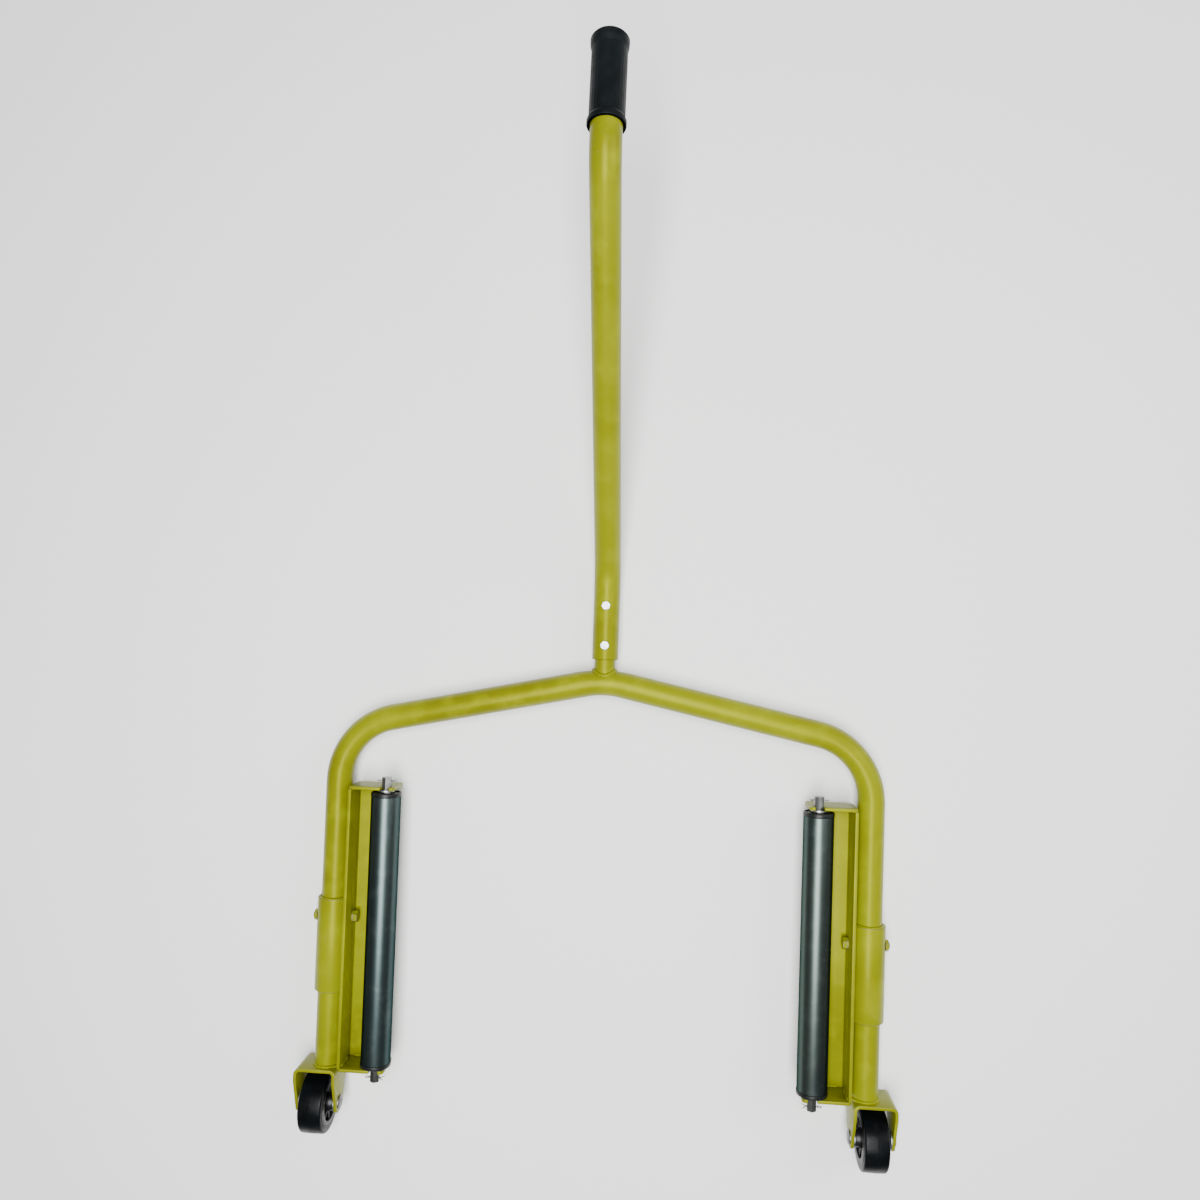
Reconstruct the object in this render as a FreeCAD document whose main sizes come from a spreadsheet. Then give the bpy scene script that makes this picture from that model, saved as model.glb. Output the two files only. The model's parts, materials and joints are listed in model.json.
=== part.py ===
import FreeCAD, Part
import math
import os
import types
import Sketcher
from FreeCAD import Placement, Rotation, Vector

# A truck-tyre wheel dolly: a bent-tube yoke on two small wheels, with two rollers that
# cradle a tyre, and a cranked handle. Every piece is drawn in the yoke's own frame: the
# origin is the corner where the centrelines of the two arms meet, X runs to the right,
# Y up the handle and Z towards the side the rollers are on. lay() then lowers the whole
# onto the floor, where it stands on its wheels and the handle's lower bolt.

# name, value in mm or degrees, meaning
drivingSizes = [
    ("tubeOd", 33.7, "outside diameter of the yoke and handle tube"),
    ("tubeWall", 3.2, "wall of that tube"),
    ("trackHalf", 344.5, "half the distance between the legs"),
    ("legEnd", 510, "reach of the legs below the arms' corner"),
    ("armSlope", 11.9, "fall of each arm from the middle"),
    ("cornerRadius", 86, "bend between arm and leg"),
    ("crownRadius", 140, "bend in the middle of the yoke"),
    ("stubGap", 0.2, "radial gap between the stub and the handle's bore"),
    ("stubWall", 2.6, "wall of the stub"),
    ("stubClear", 1, "top of the stub below the handle's first bend"),
    ("handleLow", 28, "lower end of the handle tube"),
    ("kneeAt", 137, "corner where the handle starts to rise"),
    ("kneeRadius", 95, "bend there"),
    ("handleRise", 35, "angle of the rising run"),
    ("elbowAt", 548, "corner at the top of the rising run"),
    ("elbowRadius", 70, "bend there"),
    ("handleDrop", 8, "fall of the end run"),
    ("endRun", 127, "length of the end run from the elbow's corner"),
    ("gripLength", 98, "length of tube inside the grip"),
    ("gripWall", 2.3, "wall of the grip"),
    ("gripFlare", 1.6, "how far the grip's rims stand out"),
    ("gripCap", 4, "closed end of the grip"),
    ("fitGap", 0.05, "radial gap of a close fit"),
    ("boltHoleGap", 0.4, "radial gap round a bolt"),
    ("handleBoltLow", 46, "lower handle bolt"),
    ("handleBoltHigh", 97, "upper handle bolt"),
    ("handleBoltDiameter", 6, "thread of the handle bolts"),
    ("handleBoltFlats", 10, "across flats of their heads and nuts"),
    ("handleBoltHead", 4, "height of their heads"),
    ("handleNut", 5, "height of their nuts"),
    ("handleWasher", 1.6, "thickness of their washers"),
    ("boltTip", 1.5, "thread showing past a nut"),
    ("sleeveWall", 4, "wall of the clamp sleeve"),
    ("sleeveGap", 0.35, "radial gap between sleeve and leg"),
    ("sleeveInset", 145, "upper end of the sleeve below the rail's"),
    ("sleeveLength", 118, "length of the sleeve"),
    ("sleeveBoltInset", 25, "through bolt below the sleeve's upper end"),
    ("sleeveBoltDiameter", 8, "its thread"),
    ("sleeveBoltFlats", 13, "across flats"),
    ("sleeveBoltHead", 5.3, "height of its head"),
    ("sleeveNut", 4, "height of its thin nut"),
    ("railRaise", 6, "lower end of the roller rail above the leg's"),
    ("railClear", 7.6, "upper end of the rail below the leg's bend"),
    ("railWall", 4, "thickness of rail and ears"),
    ("railBend", 6, "outside corner of the rail"),
    ("railFillet", 1.5, "inside corner of the rail"),
    ("railFloor", 14, "depth of the rail below the legs' plane"),
    ("railHeight", 30, "height of the rail above the legs' plane"),
    ("rollerInset", 47.3, "roller axis inwards of the rail's outer face"),
    ("rollerHeight", 19, "roller axis above the legs' plane"),
    ("rollerWall", 2, "wall of the roller tube"),
    ("rollerFloat", 3, "space between each roller end and its ear"),
    ("capFlange", 5, "thickness of an end cap's flange"),
    ("capLip", 0.5, "how far the flange stands out from the roller"),
    ("capWall", 2.5, "wall of the cap between bearing and roller"),
    ("capRound", 1.5, "round of its outer edge"),
    ("capSpigot", 12, "depth of an end cap inside the roller"),
    ("earPast", 13, "inner edge of an ear past the roller's axis"),
    ("earCorner", 5, "round of an ear's corners"),
    ("shaftFlats", 11.1, "across flats of the hexagonal shaft"),
    ("shaftTop", 12, "shaft past the upper ear"),
    ("shaftFoot", 13, "shaft past the lower ear"),
    ("shaftSlotGap", 0.15, "gap each side of the shaft in its slot"),
    ("bearingOuter", 29, "outside diameter of a roller bearing"),
    ("bearingWidth", 9, "its width"),
    ("ballCircle", 0.44, "circle of balls, as a share of the way from bore to outside"),
    ("ballShare", 0.3, "radius of a ball, as a share of that way"),
    ("innerShare", 0.27, "outside of the inner ring, as a share of it"),
    ("outerShare", 0.6, "inside of the outer ring, as a share of it"),
    ("floatWasher", 2, "thickness of the washers beside the roller"),
    ("floatWasherOd", 22, "their diameter"),
    ("pinDiameter", 2.4, "cotter pin"),
    ("pinInset", 4.5, "cotter pin from the shaft's end"),
    ("pinEye", 3, "radius of the cotter pin's eye"),
    ("pinTail", 7, "length of each bent tail"),
    ("tailSpread", 55, "angle that each tail is bent by"),
    ("forkWall", 4, "plate of the fork"),
    ("forkDepth", 48, "depth of the fork's web"),
    ("forkBend", 4, "inside bend of the fork"),
    ("forkTip", 12, "radius of the fork's tips"),
    ("forkShoulder", 16, "straight edge before the cheeks taper"),
    ("wheelOffset", 10, "how far the wheels stand outwards of the legs"),
    ("wheelClear", 8, "space between the wheel and the fork's web"),
    ("axleDiameter", 10, "axle rivet"),
    ("rivetHead", 3, "height of the rivet's heads"),
    ("rivetHeadOd", 18, "their diameter"),
    ("axleWasher", 1.2, "washers beside the hub"),
    ("axleWasherOd", 24, "their diameter"),
    ("bushOd", 13, "bush round the axle"),
    ("wheelOd", 76, "diameter of the wheel"),
    ("tyreWidth", 32, "width of the tread"),
    ("tyreDepth", 10, "depth of rubber"),
    ("hubShare", 0.5, "diameter of the hub's bosses, as a share of the wheel's"),
    ("hubWidth", 43, "width of the hub"),
    ("hubPlay", 0.55, "space between the hub and each washer"),
    ("webWidth", 12, "thickness of the wheel's web"),
    ("rimWall", 5, "thickness of the rim under the rubber"),
]

doc = FreeCAD.newDocument("wheel_dolly")
sheet = doc.addObject("Spreadsheet::Sheet", "Sizes")


# A number together with the sheet formula that gives it, so that a size worked out here
# is also the expression that the document keeps.
class Size:
    def __init__(self, number, formula):
        self.number = float(number)
        self.formula = formula

    def __add__(self, other):
        other = asSize(other)
        return Size(self.number + other.number, f"({self.formula} + {other.formula})")

    def __sub__(self, other):
        other = asSize(other)
        return Size(self.number - other.number, f"({self.formula} - {other.formula})")

    def __mul__(self, other):
        other = asSize(other)
        return Size(self.number * other.number, f"({self.formula} * {other.formula})")

    def __truediv__(self, other):
        other = asSize(other)
        return Size(self.number / other.number, f"({self.formula} / {other.formula})")

    def __neg__(self):
        return Size(-self.number, f"(0 - {self.formula})")

    def __radd__(self, other):
        return asSize(other) + self

    def __rsub__(self, other):
        return asSize(other) - self

    def __rmul__(self, other):
        return asSize(other) * self


def asSize(value):
    return value if isinstance(value, Size) else Size(value, str(value))


def sine(angle):
    return Size(math.sin(math.radians(angle.number)), f"sin({angle.formula})")


def cosine(angle):
    return Size(math.cos(math.radians(angle.number)), f"cos({angle.formula})")


def tangent(angle):
    return Size(math.tan(math.radians(angle.number)), f"tan({angle.formula})")


def fillSheet():
    for row, (name, value, meaning) in enumerate(drivingSizes, 1):
        sheet.set(f"A{row}", name)
        sheet.set(f"B{row}", str(value))
        sheet.set(f"C{row}", meaning)
        sheet.setAlias(f"B{row}", name)
    doc.recompute()
    return types.SimpleNamespace(**{name: Size(value, f"Sizes.{name}") for name, value, _ in drivingSizes})


size = fillSheet()
nodes = {}


def bind(thing, **values):
    for name, value in values.items():
        if isinstance(value, Size):
            thing.setExpression(name, value.formula)
        else:
            setattr(thing, name, value)
    return thing


# ---- PartDesign helpers ----

def newBody(label):
    body = doc.addObject("PartDesign::Body", label)
    body.Label = label
    nodes[label] = body
    return body


# A sketch on one of the body's own origin planes, moved along that plane's normal.
def newSketch(body, plane, offset=None):
    sketch = body.newObject("Sketcher::SketchObject", "Sketch")
    support = next(item for item in body.Origin.OriginFeatures if item.Role == plane)
    sketch.AttachmentSupport = [(support, "")]
    sketch.MapMode = "FlatFace"
    if offset is not None:
        sketch.setExpression("AttachmentOffset.Base.z", offset.formula)
    return sketch


def fixPoint(sketch, item, end, x, y):
    for kind, value in (("DistanceX", asSize(x)), ("DistanceY", asSize(y))):
        number = sketch.addConstraint(Sketcher.Constraint(kind, -1, 1, item, end, value.number))
        sketch.setExpression(f"Constraints[{number}]", value.formula)


def setRadius(sketch, item, radius):
    number = sketch.addConstraint(Sketcher.Constraint("Radius", item, radius.number))
    sketch.setExpression(f"Constraints[{number}]", radius.formula)


def addCircle(sketch, x, y, radius):
    x, y, radius = asSize(x), asSize(y), asSize(radius)
    centre = Vector(x.number, y.number, 0)
    item = sketch.addGeometry(Part.Circle(centre, Vector(0, 0, 1), radius.number))
    fixPoint(sketch, item, 3, x, y)
    setRadius(sketch, item, radius)


# Straight lines through the corners (x, y), with (x, y, radius) for a rounded corner.
def addOutline(sketch, corners, closed=True):
    corners = [tuple(asSize(value) for value in corner) for corner in corners]
    places = [Vector(corner[0].number, corner[1].number, 0) for corner in corners]
    count = len(corners)
    entries, exits, arcs = list(places), list(places), [None] * count
    for index, corner in enumerate(corners):
        if len(corner) < 3:
            continue
        before = (places[index - 1] - places[index]).normalize()
        after = (places[(index + 1) % count] - places[index]).normalize()
        half = before.getAngle(after) / 2
        reach = corner[2].number / math.tan(half)
        entries[index] = places[index] + before * reach
        exits[index] = places[index] + after * reach
        centre = places[index] + (before + after).normalize() * (corner[2].number / math.sin(half))
        turnsLeft = before.cross(after).z < 0
        start, end = (entries[index], exits[index]) if turnsLeft else (exits[index], entries[index])
        angles = [math.atan2(spot.y - centre.y, spot.x - centre.x) for spot in (start, end)]
        circle = Part.Circle(centre, Vector(0, 0, 1), corner[2].number)
        arc = sketch.addGeometry(Part.ArcOfCircle(circle, *angles))
        setRadius(sketch, arc, corner[2])
        arcs[index] = (arc, (1, 2) if turnsLeft else (2, 1))
    spans = range(count) if closed else range(count - 1)
    lines = {}
    for index in spans:
        following = (index + 1) % count
        lines[index] = sketch.addGeometry(Part.LineSegment(exits[index], entries[following]))
    for index in range(count):
        incoming = lines.get((index - 1) % count)
        outgoing = lines.get(index)
        if arcs[index] is None:
            if outgoing is not None:
                fixPoint(sketch, outgoing, 1, *corners[index][:2])
                if incoming is not None:
                    sketch.addConstraint(Sketcher.Constraint("Coincident", incoming, 2, outgoing, 1))
            else:
                fixPoint(sketch, incoming, 2, *corners[index][:2])
            continue
        arc, ends = arcs[index]
        sketch.addConstraint(Sketcher.Constraint("Tangent", incoming, 2, arc, ends[0]))
        sketch.addConstraint(Sketcher.Constraint("Tangent", arc, ends[1], outgoing, 1))
        corner = sketch.addGeometry(Part.Point(places[index]), True)
        fixPoint(sketch, corner, 1, *corners[index][:2])
        sketch.addConstraint(Sketcher.Constraint("PointOnObject", corner, 1, incoming))
        sketch.addConstraint(Sketcher.Constraint("PointOnObject", corner, 1, outgoing))


def addPad(body, sketch, length, symmetric=False):
    pad = body.newObject("PartDesign::Pad", "Pad")
    pad.Profile = sketch
    pad.SideType = "Symmetric" if symmetric else "One side"
    bind(pad, Length=length)
    doc.recompute()


# A cut right through the body, both ways from the sketch's plane.
def cutThrough(body, sketch):
    before = body.Shape.Volume
    pocket = body.newObject("PartDesign::Pocket", "Pocket")
    pocket.Profile = sketch
    pocket.Type = "ThroughAll"
    pocket.SideType = "Symmetric"
    doc.recompute()
    if body.Shape.Volume > before - 1:
        raise RuntimeError(f"a pocket in {body.Label} cut nothing")


def addPipe(body, profile, path):
    pipe = body.newObject("PartDesign::AdditivePipe", "Pipe")
    pipe.Profile = profile
    pipe.Spine = path
    doc.recompute()


# A turned piece: the outline's first value runs along the body's X axis, the second out
# from it.
def addTurned(body, corners):
    sketch = newSketch(body, "XY_Plane")
    addOutline(sketch, corners)
    turned = body.newObject("PartDesign::Revolution", "Revolution")
    turned.Profile = sketch
    turned.ReferenceAxis = (sketch, ["H_Axis"])
    turned.Angle = 360
    doc.recompute()


# ---- Part helpers ----

def cylinder(radius, length, place=None):
    item = doc.addObject("Part::Cylinder", "Cylinder")
    item.Placement = place or Placement()
    return bind(item, Radius=radius, Height=length)


def hexagon(flats, length, place=None):
    item = doc.addObject("Part::Prism", "Hexagon")
    item.Polygon = 6
    item.Placement = place or Placement()
    return bind(item, Circumradius=flats / (2 * math.cos(math.pi / 6)), Height=length)


def cut(base, tool, label="Cut"):
    item = doc.addObject("Part::Cut", label)
    item.Base = base
    item.Tool = tool
    return item


def join(items, label="Join"):
    item = doc.addObject("Part::MultiFuse", label)
    item.Shapes = items
    return item


def ring(outer, inner, length, place=None):
    return cut(cylinder(outer, length, place), cylinder(inner, length, place))


# The same piece at several places, kept as separate solids of one node.
def group(label, items):
    item = doc.addObject("Part::Compound", label)
    item.Links = items
    item.Label = label
    nodes[label] = item
    return item


def name(item, label):
    item.Label = label
    nodes[label] = item
    return item


# The left twin of a piece on the right.
def twin(source):
    item = doc.addObject("Part::Mirroring", "Mirrored")
    item.Source = source
    item.Normal = Vector(1, 0, 0)
    return item


def at(x, y, z, turn=None):
    spot = Vector(*(asSize(value).number for value in (x, y, z)))
    return Placement(spot, turn or Rotation())


alongX = Rotation(Vector(0, 1, 0), 90)
alongY = Rotation(Vector(1, 0, 0), -90)
downY = Rotation(Vector(1, 0, 0), 90)
downZ = Rotation(Vector(1, 0, 0), 180)

tubeRadius = size.tubeOd / 2
tubeBore = tubeRadius - size.tubeWall
stubRadius = tubeBore - size.stubGap
stubTop = size.kneeAt - size.kneeRadius * tangent(size.handleRise / 2) - size.stubClear
sleeveRadius = tubeRadius + size.sleeveGap + size.sleeveWall
sleeveBoltHole = size.sleeveBoltDiameter / 2 + size.boltHoleGap
handleBoltHole = size.handleBoltDiameter / 2 + size.boltHoleGap
plateFace = size.trackHalf - sleeveRadius
rollerAt = plateFace - size.rollerInset
railFoot = size.legEnd - size.railRaise
armFall = size.trackHalf * tangent(size.armSlope)
railTop = armFall + size.cornerRadius * tangent((90 - size.armSlope) / 2) + size.railClear
sleeveTop = railTop + size.sleeveInset
sleeveBoltAt = sleeveTop + size.sleeveBoltInset


# ---- Yoke and handle ----

def yokeTube():
    body = newBody("yoke_tube")
    path = newSketch(body, "XY_Plane")
    addOutline(path, [
        (-size.trackHalf, -size.legEnd),
        (-size.trackHalf, -armFall, size.cornerRadius),
        (0, 0, size.crownRadius),
        (size.trackHalf, -armFall, size.cornerRadius),
        (size.trackHalf, -size.legEnd),
    ], closed=False)
    profile = newSketch(body, "XZ_Plane", size.legEnd)
    addCircle(profile, -size.trackHalf, 0, tubeRadius)
    addCircle(profile, -size.trackHalf, 0, tubeBore)
    addPipe(body, profile, path)
    holes = newSketch(body, "YZ_Plane")
    addCircle(holes, -sleeveBoltAt, 0, sleeveBoltHole)
    cutThrough(body, holes)


# The stub's foot is coped to the bend of the yoke that it is welded on.
def handleStub():
    foot = at(0, 0, 0, alongY)
    tube = ring(stubRadius, stubRadius - size.stubWall, stubTop, foot)
    crown = doc.addObject("Part::Torus", "Crown")
    crown.Placement = at(0, -(size.crownRadius / cosine(size.armSlope)), 0)
    bind(crown, Radius1=size.crownRadius, Radius2=tubeRadius)
    stub = cut(tube, crown)
    for place in (size.handleBoltLow, size.handleBoltHigh):
        stub = cut(stub, cylinder(handleBoltHole, size.tubeOd, at(0, place, -tubeRadius)))
    name(stub, "handle_stub")


def handleTube():
    body = newBody("handle_tube")
    rise = (size.elbowAt - size.kneeAt) * tangent(size.handleRise)
    path = newSketch(body, "YZ_Plane")
    addOutline(path, [
        (size.handleLow, 0),
        (size.kneeAt, 0, size.kneeRadius),
        (size.elbowAt, rise, size.elbowRadius),
        (size.elbowAt + size.endRun * cosine(size.handleDrop), rise - size.endRun * sine(size.handleDrop)),
    ], closed=False)
    profile = newSketch(body, "XZ_Plane", -size.handleLow)
    addCircle(profile, 0, 0, tubeRadius)
    addCircle(profile, 0, 0, tubeBore)
    addPipe(body, profile, path)
    holes = newSketch(body, "XY_Plane")
    addCircle(holes, 0, size.handleBoltLow, handleBoltHole)
    addCircle(holes, 0, size.handleBoltHigh, handleBoltHole)
    cutThrough(body, holes)


# Grip: a closed sleeve with a raised rim at each end, its X axis along the tube's end.
def handleGrip():
    body = newBody("handle_grip")
    inner = tubeRadius + size.fitGap
    outer = inner + size.gripWall
    rim = outer + size.gripFlare
    total = size.gripLength + size.gripCap
    # the rims' widths and slopes go by the closed end's thickness
    farRim, farSlope, nearRim, nearSlope = (size.gripCap * share for share in (2.5, 4, 1, 1.5))
    addTurned(body, [
        (0, inner),
        (size.gripLength, inner),
        (size.gripLength, 0),
        (total, 0),
        (total, rim, size.gripCap / 2),
        (total - farRim, rim, size.gripCap),
        (total - farSlope, outer, size.gripCap),
        (nearSlope, outer),
        (nearRim, rim),
        (0, rim),
    ])
    rise = (size.elbowAt - size.kneeAt) * tangent(size.handleRise)
    reach = size.endRun - size.gripLength
    slope = Rotation(Vector(1, 0, 0), -size.handleDrop.number) * Rotation(Vector(0, 0, 1), 90)
    y = size.elbowAt + reach * cosine(size.handleDrop)
    body.Placement = at(0, y, rise - reach * sine(size.handleDrop), slope)


def handleBolts():
    bolts, nuts, washers = [], [], []
    gripped = tubeRadius * 2 + size.handleWasher + size.handleNut + size.boltTip
    for place in (size.handleBoltLow, size.handleBoltHigh):
        head = hexagon(size.handleBoltFlats, size.handleBoltHead, at(0, place, tubeRadius))
        shank = cylinder(size.handleBoltDiameter / 2, gripped, at(0, place, tubeRadius, downZ))
        bolts.append(join([head, shank]))
        face = at(0, place, -tubeRadius, downZ)
        washers.append(ring(size.handleBoltDiameter, handleBoltHole, size.handleWasher, face))
        seat = at(0, place, -(tubeRadius + size.handleWasher), downZ)
        bore = cylinder(size.handleBoltDiameter / 2 + size.fitGap, size.handleNut, seat)
        nuts.append(cut(hexagon(size.handleBoltFlats, size.handleNut, seat), bore))
    group("handle_bolts", bolts)
    group("handle_nuts", nuts)
    group("handle_washers", washers)


# ---- Roller bracket, right-hand side ----

def sleeve():
    body = newBody("sleeve_right")
    profile = newSketch(body, "XZ_Plane", sleeveTop)
    addCircle(profile, size.trackHalf, 0, sleeveRadius)
    addCircle(profile, size.trackHalf, 0, tubeRadius + size.sleeveGap)
    addPad(body, profile, size.sleeveLength)
    hole = newSketch(body, "YZ_Plane")
    addCircle(hole, -sleeveBoltAt, 0, sleeveBoltHole)
    cutThrough(body, hole)


# The rail is an angle: a floor behind the roller and a wall beside it, welded to the sleeve.
def rollerRail():
    body = newBody("roller_rail_right")
    wall = size.railWall
    profile = newSketch(body, "XZ_Plane", railTop)
    addOutline(profile, [
        (plateFace, -size.railFloor, size.railBend),
        (plateFace, size.railHeight),
        (plateFace - wall, size.railHeight),
        (plateFace - wall, wall - size.railFloor, size.railFillet),
        (rollerAt, wall - size.railFloor),
        (rollerAt, -size.railFloor),
    ])
    addPad(body, profile, railFoot - railTop)
    hole = newSketch(body, "YZ_Plane")
    addCircle(hole, -sleeveBoltAt, 0, sleeveBoltHole)
    cutThrough(body, hole)


# Each ear is open at the top, so that the hexagonal shaft drops in and can't turn.
def rollerEar(label, top):
    body = newBody(label)
    half = size.shaftFlats / 2 + size.shaftSlotGap
    slotFloor = size.rollerHeight - half / math.cos(math.pi / 6)
    profile = newSketch(body, "XZ_Plane", top)
    addOutline(profile, [
        (plateFace, -size.railFloor, size.railBend),
        (plateFace, size.railHeight, size.earCorner),
        (rollerAt + half, size.railHeight),
        (rollerAt + half, slotFloor),
        (rollerAt - half, slotFloor),
        (rollerAt - half, size.railHeight),
        (rollerAt - size.earPast, size.railHeight, size.earCorner),
        (rollerAt - size.earPast, -size.railFloor, size.earCorner),
    ])
    addPad(body, profile, size.railWall)


def bracketFasteners():
    wallFace = plateFace - size.railWall
    farFace = size.trackHalf + sleeveRadius
    washerThick = size.handleWasher
    shankLength = farFace - wallFace + washerThick + size.sleeveNut + size.boltTip
    seat = at(wallFace - washerThick, -sleeveBoltAt, 0, alongX)
    headSeat = at(wallFace - washerThick - size.sleeveBoltHead, -sleeveBoltAt, 0, alongX)
    head = hexagon(size.sleeveBoltFlats, size.sleeveBoltHead, headSeat)
    bolt = join([head, cylinder(size.sleeveBoltDiameter / 2, shankLength, seat)])
    washer = ring(size.sleeveBoltDiameter, sleeveBoltHole, washerThick, seat)
    nutSeat = at(farFace, -sleeveBoltAt, 0, alongX)
    bore = cylinder(size.sleeveBoltDiameter / 2 + size.fitGap, size.sleeveNut, nutSeat)
    nut = cut(hexagon(size.sleeveBoltFlats, size.sleeveNut, nutSeat), bore)
    group("sleeve_bolts", [bolt, twin(bolt)])
    group("sleeve_washers", [washer, twin(washer)])
    group("sleeve_nuts", [nut, twin(nut)])


# ---- Roller, right-hand side ----

rollerTop = railTop + size.rollerFloat
rollerFoot = railFoot - size.rollerFloat
rollerRadius = size.bearingOuter / 2 + size.capWall + size.rollerWall
capRadius = rollerRadius + size.capLip

# The bearing's parts share the way from the shaft's corners to its outside.
bearingBore = size.shaftFlats / 2 / math.cos(math.pi / 6) + size.fitGap
bearingSpan = size.bearingOuter / 2 - bearingBore
ballCircle = bearingBore + bearingSpan * size.ballCircle
ballRadius = bearingSpan * size.ballShare
innerLand = bearingBore + bearingSpan * size.innerShare
outerLand = bearingBore + bearingSpan * size.outerShare
ballCount = 8


def onRoller(y, turn):
    return at(rollerAt, y, size.rollerHeight, turn)


# Corners up: two flats of the hexagon stand upright against the sides of the slot.
uprightFlats = Rotation(Vector(0, 0, 1), 30)


def rollerShaft():
    top = size.railWall + size.shaftTop - railTop
    length = top + railFoot + size.railWall + size.shaftFoot
    shaft = hexagon(size.shaftFlats, length, onRoller(top, downY * uprightFlats))
    across = rollerAt - size.shaftFlats
    for y in pinPlaces():
        hole = at(across, y, size.rollerHeight, alongX)
        shaft = cut(shaft, cylinder(size.pinDiameter / 2 + size.fitGap, size.shaftFlats * 2, hole))
    return name(shaft, "roller_shaft_right")


def pinPlaces():
    upper = size.railWall + size.shaftTop - railTop - size.pinInset
    lower = size.pinInset - railFoot - size.railWall - size.shaftFoot
    return upper, lower


# A cotter pin: a straight leg, an eye on the outer side and two tails bent apart.
def cotterPin(y):
    radius = size.pinDiameter / 2
    legLength = size.shaftFlats + size.pinDiameter
    start = rollerAt - legLength / 2
    leg = cylinder(radius, legLength, at(start, y, size.rollerHeight, alongX))
    eye = doc.addObject("Part::Torus", "Eye")
    eye.Placement = at(start + legLength + size.pinEye, y, size.rollerHeight)
    bind(eye, Radius1=size.pinEye, Radius2=radius / 2)
    tails = []
    for side in (-1, 1):
        bend = Rotation(Vector(0, 1, 0), side * size.tailSpread.number - 90)
        tails.append(cylinder(radius / 2, size.pinTail, at(start + radius / 2, y, size.rollerHeight, bend)))
    return join([leg, eye] + tails)


def rollerTube():
    length = rollerFoot - rollerTop - size.capFlange * 2
    place = onRoller(-(rollerTop + size.capFlange), downY)
    tube = ring(rollerRadius, rollerRadius - size.rollerWall, length, place)
    return name(tube, "roller_tube_right")


# Turned pieces at both ends of the roller: built along X, then stood on the roller's axis.
def rollerEnds(label, corners):
    body = newBody(label)
    addTurned(body, corners)
    body.Placement = onRoller(-rollerTop, Rotation(Vector(0, 0, 1), -90))
    far = doc.addObject("Part::Mirroring", "Far")
    far.Source = body
    far.Normal = Vector(0, 1, 0)
    far.Base = Vector(0, -(rollerTop.number + rollerFoot.number) / 2, 0)
    del nodes[label]
    body.Label = label + "_end"
    return group(label, [body, far])


def rollerCaps():
    bearing = size.bearingOuter / 2 + size.fitGap
    spigot = rollerRadius - size.rollerWall - size.fitGap
    depth = size.capFlange + size.capSpigot
    return rollerEnds("roller_caps_right", [
        (0, outerLand),
        (0, capRadius, size.capRound),
        (size.capFlange, capRadius),
        (size.capFlange, spigot),
        (depth, spigot),
        (depth, bearing),
        (size.capFlange, bearing),
        (size.capFlange, outerLand),
    ])


# The groove that a ring has for its balls: a flat-bottomed trough that clears them.
def grooveCorners(radialSide):
    middle = size.capFlange + size.bearingWidth / 2
    groove = ballRadius + size.fitGap
    land = innerLand if radialSide < 0 else outerLand
    half = ballRadius
    deep = ballCircle + groove * radialSide
    return [(middle - half, land), (middle - half / 2, deep), (middle + half / 2, deep), (middle + half, land)]


def bearingRings():
    start = size.capFlange
    end = size.capFlange + size.bearingWidth
    inner = rollerEnds("bearing_inner_right", [
        (start, bearingBore),
        (start, innerLand),
        *grooveCorners(-1),
        (end, innerLand),
        (end, bearingBore),
    ])
    outer = rollerEnds("bearing_outer_right", [
        (start, outerLand),
        *grooveCorners(1),
        (end, outerLand),
        (end, size.bearingOuter / 2),
        (start, size.bearingOuter / 2),
    ])
    return inner, outer


def bearingBalls():
    balls = []
    middle = size.capFlange + size.bearingWidth / 2
    for y in (-(rollerTop + middle), middle - rollerFoot):
        for step in range(ballCount):
            turn = math.tau * (step + 0.5) / ballCount
            ball = doc.addObject("Part::Sphere", "Ball")
            x = rollerAt + ballCircle * math.cos(turn)
            z = size.rollerHeight + ballCircle * math.sin(turn)
            ball.Placement = at(x, y, z)
            balls.append(bind(ball, Radius=ballRadius))
    return group("bearing_balls_right", balls)


def floatWashers():
    upper = ring(size.floatWasherOd / 2, bearingBore, size.floatWasher, onRoller(-railTop, downY))
    lower = ring(size.floatWasherOd / 2, bearingBore, size.floatWasher, onRoller(-railFoot, alongY))
    group("roller_washers", [upper, lower, twin(upper), twin(lower)])


# ---- Fork and wheel, right-hand side ----

axleAt = size.legEnd + size.forkWall + size.wheelClear + size.wheelOd / 2
wheelAt = size.trackHalf + size.wheelOffset
forkInner = size.hubWidth / 2 + size.hubPlay + size.axleWasher
forkOuter = forkInner + size.forkWall


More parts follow.
